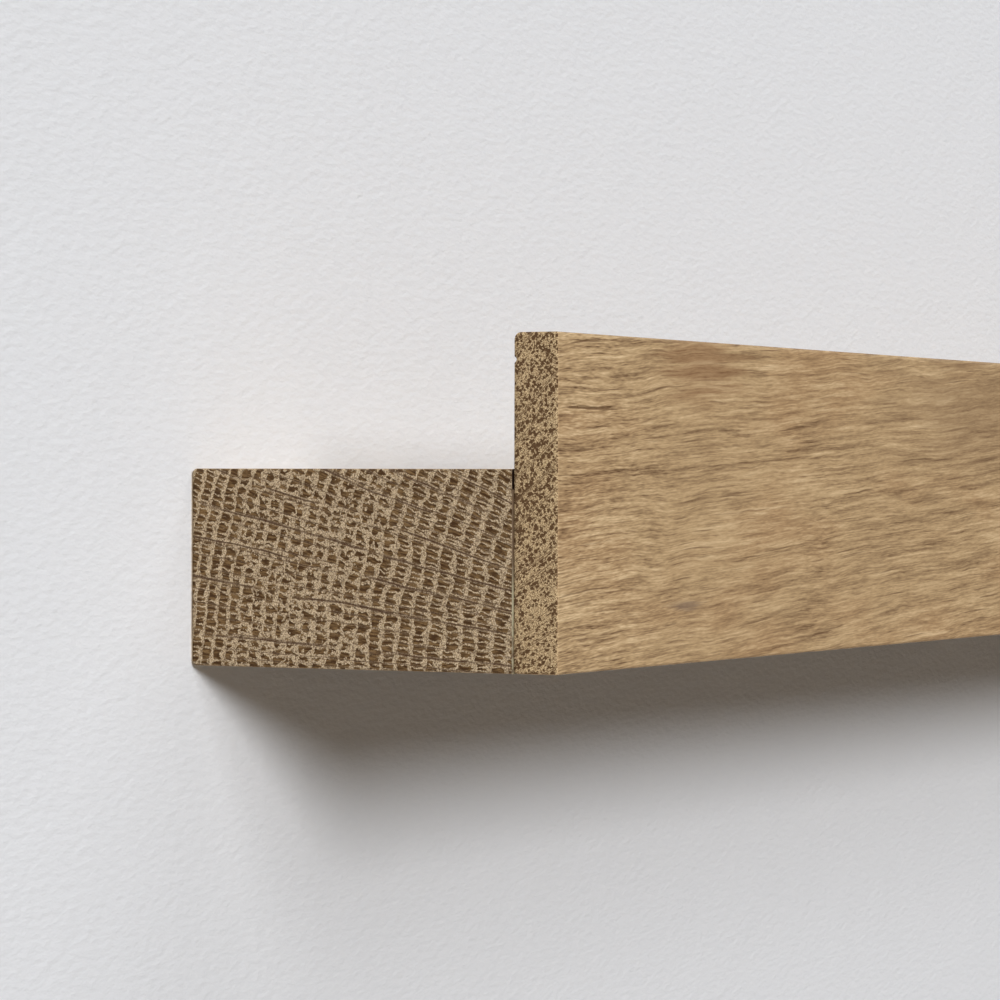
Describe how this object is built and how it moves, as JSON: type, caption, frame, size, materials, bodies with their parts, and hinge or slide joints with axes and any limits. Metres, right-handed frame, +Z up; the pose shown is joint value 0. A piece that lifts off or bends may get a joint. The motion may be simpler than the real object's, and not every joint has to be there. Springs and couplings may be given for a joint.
{
  "type": "picture ledge",
  "caption": "Wall-hung solid oak picture ledge: a rectangular shelf block with a thin raised front lip, on hidden keyhole plates and wall screws.",
  "frame": {"origin": "centre of the shelf block's back face, in the plane of the wall", "axes": "+X along the ledge, to the right for someone facing it; +Y into the wall; +Z up"},
  "size_m": [0.6, 0.1005, 0.05],
  "materials": {
    "block_oak": "smoked oiled oak, matt, end grain at both ends",
    "lip_oak": "oiled oak, matt, fine sanded",
    "wood_glue": "dried wood glue, pale",
    "plate_steel": "zinc-plated sheet steel, satin",
    "screw_steel": "zinc-plated steel, bright",
    "plug_nylon": "moulded grey nylon"
  },
  "bodies": {
    "wall_fixings": {"wall_screw_left": "screw_steel", "wall_plug_left": "plug_nylon", "wall_screw_right": "screw_steel", "wall_plug_right": "plug_nylon"},
    "ledge": {"shelf_block": "block_oak", "glue_line": "wood_glue", "front_lip": "lip_oak", "keyhole_plate_left": "plate_steel", "plate_screw_left_outer": "screw_steel", "plate_screw_left_inner": "screw_steel", "keyhole_plate_right": "plate_steel", "plate_screw_right_inner": "screw_steel", "plate_screw_right_outer": "screw_steel"}
  },
  "joints": [
    {"name": "lift_off", "type": "slide", "parent": "wall_fixings", "child": "ledge", "axis": [0, 0, 1], "range_m": [0, 0.007]}
  ]
}
